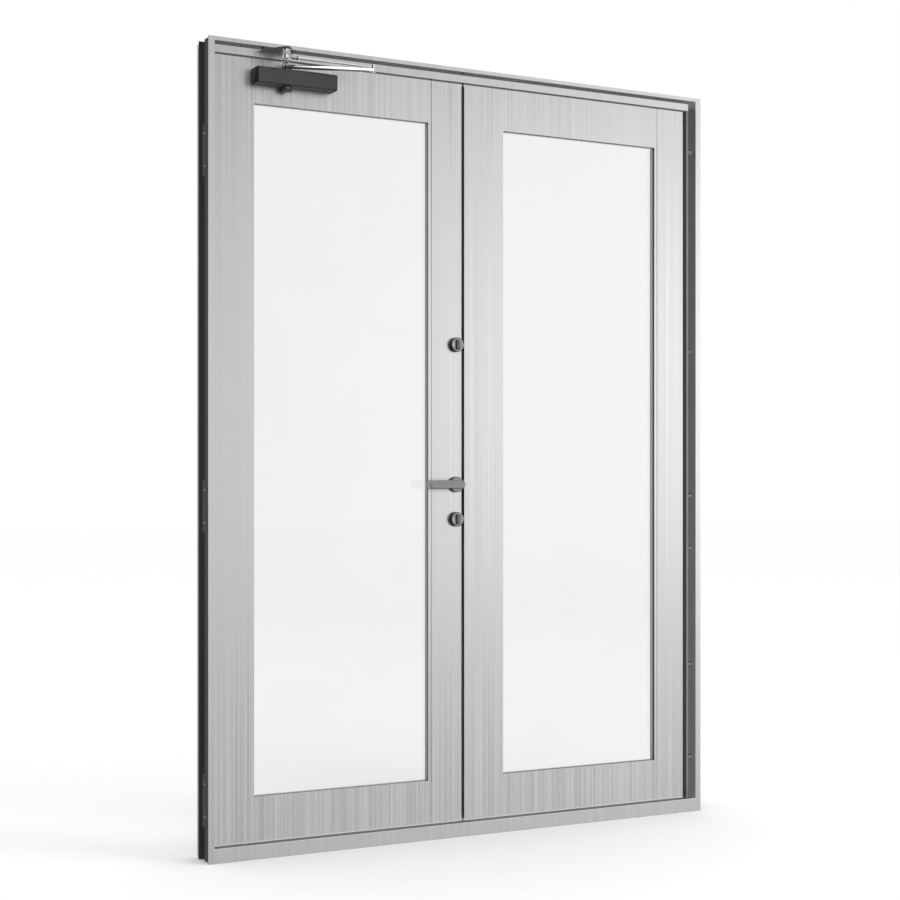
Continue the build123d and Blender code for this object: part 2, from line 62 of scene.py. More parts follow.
# Surroundings that the steel mirrors. Each light has a direction, the span of its cosine
# from dark to bright, a strength, and any fades by height, each as from, to, low, high.
ROOM_DARK = 0.04
FRONT_FADES = ((-0.28, -0.10, 0.86, 1.0), (0.08, 0.30, 1.0, 0.68))
WINDOW_FADES = ((-0.11, -0.005, -0.10, 1.0), (0.08, 0.30, 1.0, 0.45))
FRONT_LEFT_FADES = ((0.0, 0.15, 1.0, 0.0),)
ROOM_LIGHTS = {
    "front": ((0.5, -0.866, 0.0), (0.20, 0.80), 0.53, FRONT_FADES),
    "window": ((0.643, -0.766, 0.0), (0.935, 0.995), 1.20, WINDOW_FADES),
    "rear": ((0.72, 0.69, 0.0), (0.30, 0.90), 0.50, ()),
    "rear_left": ((-0.88, 0.47, 0.0), (0.55, 0.95), 0.55, ()),
    "front_left": ((-0.87, -0.50, 0.0), (0.62, 0.95), 0.36, FRONT_LEFT_FADES),
    "strip_lamp": ((-0.17, -0.955, 0.23), (0.985, 0.996), 2.2, ()),
}
GROUND_FADE = (-0.60, -0.32, 0.20, 1.0)
CEILING = ((0.0, 0.0, 1.0), (0.42, 0.85), 0.85, ())

# Grain of the brushed steel: sizes beside a streak's, and weights in its shade
GRAIN_SPREAD = {"X": (0.0015, 1.0, 1.0), "Z": (1.0, 1.0, 0.0015)}
EVEN = (1.0, 1.0, 1.0)
BAND_SIZE = 0.30
LINE_SIZE = 3.6
BAND_WEIGHT = 0.10
STREAK_WEIGHT = 0.40
LINE_WEIGHT = 0.28
SPECK_WEIGHT = 0.16
CLOUD_WEIGHT = 0.06

# How noise values become shades and roughness: spans of the noise, and shares of the roughness
NOISE_ROUGH = 0.55
STEEL_SPAN = (0.38, 0.62)
COAT_SPAN = (0.36, 0.64)
SMEAR_SPAN = (0.35, 0.65)
ROUGH_SPAN = (0.3, 0.7)
STEEL_ROUGH_SHARES = (0.86, 1.16)
COAT_ROUGH_SHARES = (0.85, 1.15)
PLATING_ROUGH_SHARES = (0.7, 1.5)
MOTTLE_WEIGHT = 0.55
WEAR_WEIGHT = 0.45
RELIEF_DEPTH = 0.0003
SMEAR_DEPTH = 0.0002

# Heights between which the grain of the sheet fades, with what is left of it at mid height and
# how much of it comes back at the top
FOOT_WEAR = (0.15, 0.65)
TOP_WEAR = (1.65, 2.0)
TOP_WEAR_SHARE = 0.6
MIDDLE_WEAR = 0.30

# Heights and places on the door set that its nodes' boxes don't give, in metres
HINGE_HEIGHTS = (0.154, 0.906, 1.817)
LOCK_X = -0.024
LEVER_HEIGHT = 0.962
TURN_HEIGHTS = (1.348, 0.866)
JAMB_BOX_SIDE = 0.7603
SPINDLE = (-0.537, -0.0145)
PIVOT = (-0.5607, -0.0680)
FOREARM_HEAD = (-0.5607, -0.0680, 2.0650)
FOREARM_FOOT = (-0.3191, -0.0832, 2.0615)
FOREARM_EYE = 0.0040

# Screws, as the radius of the foot, the radius of the head, and the height. The rounding and
# the socket's depth are shares of the height, and the socket's rim is a share of the radius.
ANCHOR_SCREW = (0.0034, 0.0056, 0.0046)
GUARD_SCREW = (0.0024, 0.0024, 0.0010)
PLATE_SCREW = (0.0034, 0.0034, 0.0003)
VALVE_SCREW = (0.0035, 0.0035, 0.0012)
PIVOT_END = (0.0052, 0.0052, 0.0030)
SCREW_SIDES = 24
SCREW_ROUNDING = 0.3
SOCKET_RIM = 0.42
SOCKET_DEPTH = 0.55
ANCHOR_SEAT_DEPTH = 0.0034
ANCHOR_MOUNT_DEPTH = 0.00425
GUARD_SCREW_STEP = 0.042
PLATE_SCREW_INSET = 0.010
VALVE_SCREW_STEP = 0.010

# Rings, as outer radius, inner radius and height. The rounding and the sunk middle are shares.
TURN_RING = (0.0182, 0.0147, 0.0009)
LEVER_RING = (0.0105, 0.0074, 0.0012)
NECK = (0.0046, 0.0026, 0.0170)
LOCK_RING = (0.0052, 0.0026, 0.0034)
SPINDLE_WASHER = (0.0136, 0.0094, 0.0010)
RING_SIDES = 64
RING_ROUNDING = 0.3
RING_SINK = 0.5
NECK_START = 0.0105
LOCK_RING_START = 0.0275
WASHER_LIFT = 0.0002

# Nuts, as radius and height, and how far they and the pivot's end start below the arm or the eye
SPINDLE_NUT = (0.0118, 0.0062)
PIVOT_NUT = (0.0128, 0.0062)
NUT_ROUNDING = 0.14
SPINDLE_NUT_DROP = 0.0112
PIVOT_NUT_DROP = 0.0063
PIVOT_END_DROP = 0.0060

# Caps on the ends of the closer's case
CAP_THICK = 0.0012
CAP_MARGIN = 0.004
CAP_CORNER = 0.003
CAP_RIM = 0.0006
CAP_STEP = 0.0004
CLOSER_BOSS = 0.012
VALVE_SEAT = 0.0014

# Folded edges of the jambs' rear lips
LIP_WIDTH = 0.0084
LIP_THICK = 0.0008
LIP_BACK = 0.0017
LIP_ROUNDING = 0.3

# Covers over the hinge guards
COVER_FRONT = -0.0245
COVER_BACK_GAP = 0.0006
COVER_LENGTH = 0.134
COVER_THICK = 0.0012
COVER_CORNER = 0.004
COVER_RIMS = (0.0020, 0.0012)
COVER_SINK = 0.45

# Rubber seals under the leaves and down the meeting edge
BOTTOM_SEAL_INSET = (0.004, 0.006)
BOTTOM_SEAL_GAP = 0.0008
BOTTOM_SEAL_ROUND = 0.0015
MEETING_SEAL_REACH = 0.0028
MEETING_SEAL_DEPTHS = (0.0085, 0.0025)
MEETING_SEAL_INSET = 0.002
MEETING_SEAL_ROUND = 0.0009

# Modelling
SMOOTH_ANGLE = math.radians(38)
LEVEL_TOLERANCE = 1e-6
SQUARE_ON = 0.99
UP = Vector((0, 0, 1))
X, Z = 0, 2


def deselect():
    """Nothing is selected, so that an operator acts on the new piece alone."""
    if bpy.context.object and bpy.context.object.mode != "OBJECT":
        bpy.ops.object.mode_set(mode="OBJECT")
    bpy.ops.object.select_all(action="DESELECT")


def make_camera():
    """The photograph's viewpoint."""
    turn = (math.radians(90), 0, -math.radians(CAMERA_TURN))
    bpy.ops.object.camera_add(location=CAMERA_PLACE, rotation=turn)
    camera = bpy.context.object
    camera.data.lens = CAMERA_LENS
    camera.data.sensor_width = SENSOR_WIDTH
    camera.data.sensor_fit = "HORIZONTAL"
    camera.data.shift_y = HORIZON_SHIFT
    bpy.context.scene.camera = camera


# Material building blocks

def new_material(name, colour, metal, rough):
    """A Principled material and its shader."""
    material = bpy.data.materials.new(name)
    material.use_nodes = True
    shader = material.node_tree.nodes["Principled BSDF"]
    shader.inputs["Base Color"].default_value = (*colour, 1)
    shader.inputs["Metallic"].default_value = metal
    shader.inputs["Roughness"].default_value = rough
    return material, shader


def object_noise(tree, scale, detail, spread):
    """Noise on Object coordinates, drawn out by a different scale along each axis."""
    place = tree.nodes.new("ShaderNodeTexCoord")
    mapping = tree.nodes.new("ShaderNodeMapping")
    mapping.inputs["Scale"].default_value = spread
    noise = tree.nodes.new("ShaderNodeTexNoise")
    noise.inputs["Scale"].default_value = scale
    noise.inputs["Detail"].default_value = detail
    noise.inputs["Roughness"].default_value = NOISE_ROUGH
    tree.links.new(place.outputs["Object"], mapping.inputs["Vector"])
    tree.links.new(mapping.outputs["Vector"], noise.inputs["Vector"])
    return noise.outputs["Fac"]


def ranged(tree, value, old_low, old_high, low, high, kind="LINEAR"):
    """A value carried from one range to another and held inside it."""
    node = tree.nodes.new("ShaderNodeMapRange")
    node.interpolation_type = kind
    node.inputs["From Min"].default_value = old_low
    node.inputs["From Max"].default_value = old_high
    node.inputs["To Min"].default_value = low
    node.inputs["To Max"].default_value = high
    tree.links.new(value, node.inputs["Value"])
    return node.outputs["Result"]


def reckon(tree, operation, first, second):
    """One sum, product or test of two values, each a socket or a number."""
    node = tree.nodes.new("ShaderNodeMath")
    node.operation = operation
    for socket, value in zip(node.inputs, (first, second)):
        if isinstance(value, (int, float)):
            socket.default_value = value
        else:
            tree.links.new(value, socket)
    return node.outputs["Value"]


def weighted(tree, *parts):
    """The sum of values, each times its weight."""
    total = 0.0
    for value, weight in parts:
        share = reckon(tree, "MULTIPLY", value, weight)
        total = reckon(tree, "ADD", total, share)
    return total


def colour_output(node):
    """The colour that a Mix node gives."""
    return [socket for socket in node.outputs if socket.type == "RGBA"][0]


def blended_colour(tree, factor, low, high):
    """A colour between two colours."""
    node = tree.nodes.new("ShaderNodeMix")
    node.data_type = "RGBA"
    tree.links.new(factor, node.inputs[0])
    first, second = [socket for socket in node.inputs if socket.type == "RGBA"]
    first.default_value = (*low, 1)
    second.default_value = (*high, 1)
    return colour_output(node)


def vary_roughness(tree, shader, value, rough, shares):
    """Lets the roughness follow a noise value, between two shares of its own level."""
    low, high = (rough * share for share in shares)
    tree.links.new(ranged(tree, value, *ROUGH_SPAN, low, high), shader.inputs["Roughness"])


def relief(tree, shader, height, strength, distance):
    """A bump from a height value."""
    bump = tree.nodes.new("ShaderNodeBump")
    bump.inputs["Strength"].default_value = strength
    bump.inputs["Distance"].default_value = distance
    tree.links.new(height, bump.inputs["Height"])
    tree.links.new(bump.outputs["Normal"], shader.inputs["Normal"])


def tinted(colour, share):
    """A colour made lighter or darker by a share."""
    return tuple(min(1.0, channel * share) for channel in colour)


def object_axes(tree):
    """The separate Object coordinates."""
    place = tree.nodes.new("ShaderNodeTexCoord")
    split = tree.nodes.new("ShaderNodeSeparateXYZ")
    tree.links.new(place.outputs["Object"], split.inputs["Vector"])
    return split.outputs


def zone(x=(None, None), y=(None, None), z=(None, None)):
    """A low and a high limit on each axis of the Object coordinates, None where it is open."""
    return {"X": x, "Y": y, "Z": z}


def within(tree, bounds):
    """1 inside a zone, else 0."""
    axes = object_axes(tree)
    mask = 1.0
    for axis, (low, high) in bounds.items():
        for operation, limit in (("GREATER_THAN", low), ("LESS_THAN", high)):
            if limit is not None:
                side = reckon(tree, operation, axes[axis], limit)
                mask = reckon(tree, "MULTIPLY", side, mask)
    return mask


def with_tones(tree, colour, zones):
    """A colour that gives way to another tone inside each zone, where light or shade is painted."""
    for bounds, tone in zones:
        node = tree.nodes.new("ShaderNodeMix")
        node.data_type = "RGBA"
        tree.links.new(within(tree, bounds), node.inputs[0])
        first, second = [socket for socket in node.inputs if socket.type == "RGBA"]
        tree.links.new(colour, first)
        second.default_value = (*tone, 1)
        colour = colour_output(node)
    return colour


def shares_of(colour, zones):
    """Zones whose tone is a share of a colour, as zones with the tone itself."""
    return [(bounds, tinted(colour, share)) for bounds, share in zones]


def end_wear(tree):
    """Grain that shows more towards the foot and the top than at mid height."""
    height = object_axes(tree)["Z"]
    foot = ranged(tree, height, *FOOT_WEAR, 1.0, 0.0, "SMOOTHSTEP")
    top = ranged(tree, height, *TOP_WEAR, 0.0, TOP_WEAR_SHARE, "SMOOTHSTEP")
    return ranged(tree, reckon(tree, "ADD", foot, top), 0.0, 1.0, MIDDLE_WEAR, 1.0)


def brushed(name, colour, rough, contrast, streak=110.0, grain="Z", worn=False, painted_zones=()):
    """Brushed steel: bands, streaks and lines along the grain, with specks and a soft cloud."""
    material, shader = new_material(name, colour, 1.0, rough)
    tree = material.node_tree
    spread = GRAIN_SPREAD[grain]
    bands = object_noise(tree, streak * BAND_SIZE, 2.0, spread)
    streaks = object_noise(tree, streak, 2.0, spread)
    lines = object_noise(tree, streak * LINE_SIZE, 2.0, spread)
    specks = object_noise(tree, 420.0, 2.0, (1.0, 1.0, 0.5))
    cloud = object_noise(tree, 3.0, 3.0, EVEN)
    mixed = weighted(
        tree,
        (bands, BAND_WEIGHT),
        (streaks, STREAK_WEIGHT),
        (lines, LINE_WEIGHT),
        (specks, SPECK_WEIGHT),
        (cloud, CLOUD_WEIGHT),
    )
    shade = ranged(tree, mixed, *STEEL_SPAN, -0.5, 0.5)
    if worn:
        shade = reckon(tree, "MULTIPLY", shade, end_wear(tree))
    shade = reckon(tree, "ADD", shade, 0.5)
    low, high = tinted(colour, 1 - contrast), tinted(colour, 1 + contrast)
    surface = with_tones(tree, blended_colour(tree, shade, low, high), shares_of(colour, painted_zones))
    tree.links.new(surface, shader.inputs["Base Color"])
    vary_roughness(tree, shader, streaks, rough, STEEL_ROUGH_SHARES)
    relief(tree, shader, lines, 0.10, RELIEF_DEPTH)
    return material


def coated(name, low, high, rough, scale, bump, gloss=0.5, painted_zones=()):
    """Enamel or rubber: a mottle of the given scale, a soft cloud of wear and a small relief."""
    material, shader = new_material(name, low, 0.0, rough)
    shader.inputs["Specular IOR Level"].default_value = gloss
    tree = material.node_tree
    mottle = object_noise(tree, scale, 3.0, EVEN)
    cloud = object_noise(tree, 9.0, 4.0, EVEN)
    mixed = weighted(tree, (mottle, MOTTLE_WEIGHT), (cloud, WEAR_WEIGHT))
    shade = ranged(tree, mixed, *COAT_SPAN, 0.0, 1.0)
    surface = with_tones(tree, blended_colour(tree, shade, low, high), painted_zones)
    tree.links.new(surface, shader.inputs["Base Color"])
    vary_roughness(tree, shader, cloud, rough, COAT_ROUGH_SHARES)
    relief(tree, shader, mottle, bump, RELIEF_DEPTH)
    return material


def polished(name, colour, rough, painted_zones=()):
    """Bright plating with faint smears that roughen it here and there."""
    material, shader = new_material(name, colour, 1.0, rough)
    tree = material.node_tree
    smear = object_noise(tree, 60.0, 4.0, EVEN)
    shade = ranged(tree, smear, *SMEAR_SPAN, 0.0, 1.0)
    low, high = tinted(colour, 0.9), tinted(colour, 1.05)
    surface = with_tones(tree, blended_colour(tree, shade, low, high), shares_of(colour, painted_zones))
    tree.links.new(surface, shader.inputs["Base Color"])
    vary_roughness(tree, shader, smear, rough, PLATING_ROUGH_SHARES)
    relief(tree, shader, smear, 0.03, SMEAR_DEPTH)
    return material


def clear_glass():
    """Float glass with a slight tint and the faintest uneven sheen."""
    material, shader = new_material("clear_glass", (0.88, 0.88, 0.88), 0.0, 0.0)
    shader.inputs["Transmission Weight"].default_value = 1.0
    shader.inputs["IOR"].default_value = 1.45
    tree = material.node_tree
    haze = ranged(tree, object_noise(tree, 5.0, 3.0, EVEN), *SMEAR_SPAN, 0.0, 1.0)
    tint = blended_colour(tree, haze, (0.872, 0.874, 0.872), (0.882, 0.883, 0.881))
    tree.links.new(tint, shader.inputs["Base Color"])
    return material


# Studio

def side_light(tree, direction, height, side, span, amount, fades):
    """Light that comes from one side, as a soft lobe round that direction."""
    dot = tree.nodes.new("ShaderNodeVectorMath")
    dot.operation = "DOT_PRODUCT"
    dot.inputs[1].default_value = side
    tree.links.new(direction, dot.inputs[0])
    light = ranged(tree, dot.outputs["Value"], *span, 0.0, amount, "SMOOTHSTEP")
    for fade in fades:
        light = reckon(tree, "MULTIPLY", light, ranged(tree, height, *fade, "SMOOTHSTEP"))
    return light


def room_level(tree):
    """How bright the mirrored room is in each direction."""
    direction = tree.nodes.new("ShaderNodeTexCoord").outputs["Generated"]
    split = tree.nodes.new("ShaderNodeSeparateXYZ")
    tree.links.new(direction, split.inputs["Vector"])
    height = split.outputs["Z"]
    level = ROOM_DARK
    for light in ROOM_LIGHTS.values():
        level = reckon(tree, "ADD", level, side_light(tree, direction, height, *light))
    level = reckon(tree, "MULTIPLY", level, ranged(tree, height, *GROUND_FADE, "SMOOTHSTEP"))
    return reckon(tree, "ADD", level, side_light(tree, direction, height, *CEILING))


def make_world():
    """White surroundings, and for mirrored rays a room that is bright on some sides."""
    world = bpy.data.worlds.new("studio")
    world.use_nodes = True
    bpy.context.scene.world = world
    tree = world.node_tree
    background = tree.nodes["Background"]
    background.inputs["Strength"].default_value = 1.0
    level = room_level(tree)
    rays = tree.nodes.new("ShaderNodeLightPath").outputs
    mirrored = reckon(tree, "SUBTRACT", rays["Is Glossy Ray"], rays["Is Transmission Ray"])
    mirrored = ranged(tree, mirrored, 0.0, 1.0, 0.0, 1.0)
    mixed = tree.nodes.new("ShaderNodeMix")
    mixed.data_type = "FLOAT"
    factor, plain, room = [socket for socket in mixed.inputs if socket.type == "VALUE"]
    tree.links.new(mirrored, factor)
    plain.default_value = 1.0
    tree.links.new(level, room)
    result = [socket for socket in mixed.outputs if socket.type == "VALUE"][0]
    tree.links.new(result, background.inputs["Color"])


def make_floor():
    """A pale floor that the door set stands on."""
    deselect()
    bpy.ops.mesh.primitive_plane_add(size=FLOOR_SIZE, location=(0, 0, -FLOOR_DROP))
    floor = bpy.context.object
    floor.name = "floor"
    white = (FLOOR_WHITE, FLOOR_WHITE, FLOOR_WHITE)
    low, high = tinted(white, 0.995), tinted(white, 1.005)
    floor.data.materials.append(
        coated("pale_floor", low, high, rough=0.7, scale=40.0, bump=0.0, gloss=0.0)
    )
    floor.visible_glossy = False


def make_lamp():
    """A large soft lamp to the front right."""
    deselect()
    bpy.ops.object.light_add(type="AREA", location=LAMP_PLACE)
    lamp = bpy.context.object
    lamp.data.shape = "SQUARE"
    lamp.data.size = LAMP_SIZE
    lamp.data.energy = LAMP_POWER
    lamp.visible_glossy = False
    lamp.visible_transmission = False
    aim = Vector(LAMP_AIM) - Vector(LAMP_PLACE)
    lamp.rotation_euler = aim.to_track_quat("-Z", "Y").to_euler()


# Modelling helpers

def pick(kind, test):
    """Selects the faces or edges of the piece in edit mode that a test accepts."""
    bpy.ops.mesh.select_all(action="DESELECT")
    bpy.ops.mesh.select_mode(type=kind)
    mesh = bmesh.from_edit_mesh(bpy.context.object.data)
    parts = mesh.faces if kind == "FACE" else mesh.edges
    for part in parts:
        if test(part):
            part.select_set(True)
    bmesh.update_edit_mesh(bpy.context.object.data)


def settle():
    """Takes the active piece's place, turn and scale into its mesh."""
    bpy.ops.object.transform_apply(location=True, rotation=True, scale=True)


def round_edges(test, radius, segments):
    """Goes into edit mode and rounds the edges that a test accepts."""
    bpy.ops.object.mode_set(mode="EDIT")
    pick("EDGE", test)
    bpy.ops.mesh.bevel(offset=radius, segments=segments, affect="EDGES")


def end_edit(piece):
    """Back to object mode, with soft shading."""
    bpy.ops.object.mode_set(mode="OBJECT")
    settle()
    bpy.ops.object.shade_smooth_by_angle(angle=SMOOTH_ANGLE)
    return piece


def at_height(edge, height):
    """Whether an edge lies level at a height of its own mesh."""
    return all(abs(vertex.co.z - height) < LEVEL_TOLERANCE for vertex in edge.verts)


def runs_along(edge, axis, least):
    """Whether an edge runs along an axis for more than the least length."""
    first, last = edge.verts
    return abs(first.co[axis] - last.co[axis]) > least


def looks_along(face, axis, sign):
    """Whether a face looks square along an axis, towards its positive or negative end."""
    return face.normal[axis] * sign > SQUARE_ON


def model_block(centre, size):
    """A plain block with its sides along the axes."""
    deselect()
    bpy.ops.mesh.primitive_cube_add(size=1, location=centre, scale=size)
    settle()
    return bpy.context.object


def model_screw(foot_radius, head_radius, height):
    """A screw head that stands on Z, with a rounded rim and a sunk socket."""
    deselect()
    bpy.ops.mesh.primitive_cone_add(
        vertices=SCREW_SIDES,
        radius1=foot_radius,
        radius2=head_radius,
        depth=height,
        location=(0, 0, height / 2),
    )
    settle()
    round_edges(lambda edge: at_height(edge, height), height * SCREW_ROUNDING, 3)
    pick("FACE", lambda face: looks_along(face, Z, 1))
    bpy.ops.mesh.inset(thickness=head_radius * SOCKET_RIM)
    sunk = (0, 0, -height * SOCKET_DEPTH)
    bpy.ops.mesh.extrude_region_move(TRANSFORM_OT_translate={"value": sunk})
    return end_edit(bpy.context.object)


def model_ring(outer, inner, height):
    """A flat turned ring that stands on Z, with a rounded rim and a sunk middle."""
    deselect()
    bpy.ops.mesh.primitive_cylinder_add(
        vertices=RING_SIDES, radius=outer, depth=height, location=(0, 0, height / 2)
    )
    settle()
    rounding = min(height, outer - inner) * RING_ROUNDING
    round_edges(lambda edge: at_height(edge, height), rounding, 2)
    pick("FACE", lambda face: looks_along(face, Z, 1))
    bpy.ops.mesh.inset(thickness=outer - inner - rounding)
    bpy.ops.transform.translate(value=(0, 0, -height * RING_SINK))
    return end_edit(bpy.context.object)


def model_nut(radius, height):
    """A six-sided nut that stands on Z, with its corners turned off at both ends."""
    deselect()
    bpy.ops.mesh.primitive_cylinder_add(
        vertices=6, radius=radius, depth=height, location=(0, 0, height / 2)
    )
    settle()
    rounding = height * NUT_ROUNDING
    round_edges(lambda edge: at_height(edge, 0) or at_height(edge, height), rounding, 2)
    return end_edit(bpy.context.object)


def join(pieces):
    """Joins the pieces into the first one."""
    deselect()
    for piece in pieces:
        piece.select_set(True)
    bpy.context.view_layer.objects.active = pieces[0]
    if len(pieces) > 1:
        bpy.ops.object.join()


def dress(piece, name, material, body):
    """Names a piece, gives it its finish and lets it ride on its body."""
    piece.name = name
    piece.data.name = name
    piece.data.materials.clear()
    piece.data.materials.append(material)
    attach(piece, body)


def set_out(model, name, places, material, body):
    """Copies a modelled piece to each place, facing that way, joins the copies and drops the model."""
    copies = []
    for place, facing in places:
        deselect()
        model.select_set(True)
        bpy.context.view_layer.objects.active = model
        bpy.ops.object.duplicate(linked=False)
        copy = bpy.context.object
        copy.location = place
        copy.rotation_euler = UP.rotation_difference(Vector(facing)).to_euler()
        settle()
        copies.append(copy)
    join(copies)
    dress(copies[0], name, material, body)
    bpy.data.objects.remove(model, do_unlink=True)
    return copies[0]


# Finishes

SHEET = (0.80, 0.80, 0.79)

# Zones of a surface with painted light, each with its share of the colour, or its own colour on a coat.
# Painted shade darkens the folded sides, undersides, recesses and reveals. Painted highlights lighten
# the leaves' foot, the left leaf's meeting edge and the front of the jambs' stops.
BOX_DEPTHS = (-0.0494, 0.0490)
RECESS_DEPTHS = (-0.0045, 0.0490)
LIP_DEPTHS = (0.0068, 0.0156)
OPENING_HEIGHTS = (0.144, 1.960)
# Painted shade on the leaves' opening lips; painted highlights on the leaves' foot and the left leaf's
# meeting edge
LEFT_OPENING_LIP_SHADE = (zone(x=(-0.626, -0.094), y=LIP_DEPTHS, z=OPENING_HEIGHTS), 0.18)
RIGHT_OPENING_LIP_SHADE = (zone(x=(0.121, 0.658), y=LIP_DEPTHS, z=OPENING_HEIGHTS), 0.06)
LEAF_FOOT_HIGHLIGHT = (zone(z=(None, 0.0345)), 1.20)
LEFT_LEAF_EDGE_HIGHLIGHT = (zone(x=(-0.0080, -0.0040)), 1.25)
LEAF_PAINTED_LIGHT = (LEFT_OPENING_LIP_SHADE, RIGHT_OPENING_LIP_SHADE, LEAF_FOOT_HIGHLIGHT, LEFT_LEAF_EDGE_HIGHLIGHT)
# Painted shade on the jambs' box sides, their recesses and the right reveal
LEFT_BOX_SHADE = (zone(x=(None, -0.7513), y=BOX_DEPTHS), 0.09)
LEFT_RECESS_SHADE = (zone(x=(None, -0.7513), y=RECESS_DEPTHS), 0.05)
RIGHT_BOX_SHADE = (zone(x=(0.7513, None), y=BOX_DEPTHS), 0.09)
RIGHT_RECESS_SHADE = (zone(x=(0.7513, None), y=RECESS_DEPTHS), 0.05)
RIGHT_REVEAL_SHADE = (zone(x=(0.7490, 0.7513), y=(-0.0480, 0.0490)), 0.42)
# Painted shade on the head's soffit and under the head stop
SOFFIT_SHADE = (zone(y=(-0.0494, None), z=(None, 2.0912)), 0.20)
STOP_UNDERSIDE_SHADE = (zone(z=(None, 2.0704)), 0.18)
# Painted highlight on the front face of the jambs' stops
STOP_FRONT_HIGHLIGHT = (zone(y=(None, -0.0125)), (0.40, 0.40, 0.396))
# Painted shade on the meeting strip's side
STRIP_SIDE_SHADE = (zone(x=(None, -0.0009)), 0.22)
# Painted shade on the sides of the lever's and the turns' roses
LEVER_ROSE_SIDE_SHADE = (zone(y=(-0.0033, 0.020)), 0.07)
TURN_ROSE_SIDE_SHADE = (zone(y=(-0.0053, 0.020)), 0.07)
# Painted shade under the closer's main arm
ARM_UNDERSIDE_SHADE = (zone(x=(None, -0.3285), z=(None, 2.0517)), 0.14)

LEAF_MEMBERS = ("left_stile", "right_stile", "inner_strip", "top_rail", "bottom_rail")
SIDE_FINISHES = {
    "leaf_glass": "glass",
    "leaf_gasket": "gasket",
    "leaf_glazing_beads": "bead",
    "leaf_hinges": "plain",
    "frame_hinges": "plain",
    "hinge_guards": "guard",
    "jamb_stop": "stop",
}
NODE_FINISHES = {
    "left_jamb": "left_jamb",
    "right_jamb": "right_jamb",
    "head": "head",
    "head_stop": "head_stop",
    "sill": "sill",
    "sill_stop": "sill_stop",
    "meeting_strip": "strip",
    "lock_face_plates": "plain",
    "strike_plates": "plain",
    "lever_roses": "lever_rose",
    "turn_roses": "turn_rose",
    "rear_key_roses": "ring",
    "front_lever": "lever",
    "rear_lever": "lever",
    "lever_spindle": "plain",
    "upper_lock_turn": "turn",
    "lower_lock_turn": "turn",
    "closer_body": "closer",
    "closer_bracket": "bracket",
    "closer_main_arm": "arm",
    "closer_forearm": "chrome",
    "closer_stud": "chrome",
}
FRAME_NODES = (
    "left_jamb",
    "right_jamb",
    "head",
    "sill",
    "head_stop",
    "sill_stop",
    "left_jamb_stop",
    "right_jamb_stop",
    "left_hinge_guards",
    "right_hinge_guards",
)


def sheet_finishes():
    """Brushed sheet of the leaves and the frame, with painted shade and painted highlights in zones."""
    leaf = {"rough": 0.33, "streak": 230.0}
    jamb = {"rough": 0.30, "contrast": 0.12, "streak": 190.0, "worn": True}
    head = {"rough": 0.32, "contrast": 0.06}
    # Painted shade on the jambs' boxes, recesses and the right reveal
    left, right = (LEFT_BOX_SHADE, LEFT_RECESS_SHADE), (RIGHT_BOX_SHADE, RIGHT_RECESS_SHADE, RIGHT_REVEAL_SHADE)
    return {
        "leaf": brushed("leaf_sheet", SHEET, contrast=0.20, worn=True, painted_zones=LEAF_PAINTED_LIGHT, **leaf),
        "strip": brushed("strip_sheet", SHEET, contrast=0.06, painted_zones=(STRIP_SIDE_SHADE,), **leaf),
        "left_jamb": brushed("left_jamb_sheet", SHEET, painted_zones=left, **jamb),
        "right_jamb": brushed("right_jamb_sheet", SHEET, painted_zones=right, **jamb),
        "head": brushed("head_sheet", SHEET, painted_zones=(SOFFIT_SHADE,), **head),
        "head_stop": brushed("head_stop_sheet", SHEET, painted_zones=(STOP_UNDERSIDE_SHADE,), **head),
        "sill": brushed("sill_sheet", (0.83, 0.83, 0.82), rough=0.32, contrast=0.05),
        "bead": brushed("bead_sheet", (0.86, 0.86, 0.85), rough=0.26, contrast=0.03),
    }


def satin_finishes():
    """Satin steel of the lever, the turns, their roses and the small parts, with painted shade on the
    roses' sides.
    """
    lever, ring = (0.31, 0.31, 0.306), (0.34, 0.34, 0.335)
    lever_rose, turn = (0.30, 0.30, 0.295), (0.17, 0.17, 0.167)
    plain, guard = (0.55, 0.55, 0.54), (0.14, 0.14, 0.135)
    satin = {"contrast": 0.08, "streak": 400.0}
    return {
        "lever": brushed("lever_satin", lever, rough=0.34, contrast=0.05, streak=400.0, grain="X"),
        "lever_rose": brushed(
            "lever_rose_satin", lever_rose, rough=0.30, painted_zones=(LEVER_ROSE_SIDE_SHADE,), **satin
        ),
        "turn_rose": brushed("turn_rose_satin", turn, rough=0.30, painted_zones=(TURN_ROSE_SIDE_SHADE,), **satin),
        "ring": brushed("ring_satin", ring, rough=0.26, **satin),
        "turn": brushed("turn_satin", turn, rough=0.34, **satin),
        "plain": brushed("plain_steel", plain, rough=0.36, contrast=0.06, streak=300.0),
        "guard": brushed("guard_steel", guard, rough=0.45, contrast=0.12, streak=300.0),
    }


def polished_finishes():
    """Polished screws and the plated arms of the closer, with painted shade under the main arm."""
    return {
        "screw": polished("screw_steel", (0.72, 0.72, 0.71), rough=0.22),
        "chrome": polished("bright_plating", (0.90, 0.90, 0.90), rough=0.10),
        "arm": polished("arm_plating", (0.88, 0.88, 0.88), rough=0.12, painted_zones=(ARM_UNDERSIDE_SHADE,)),
    }


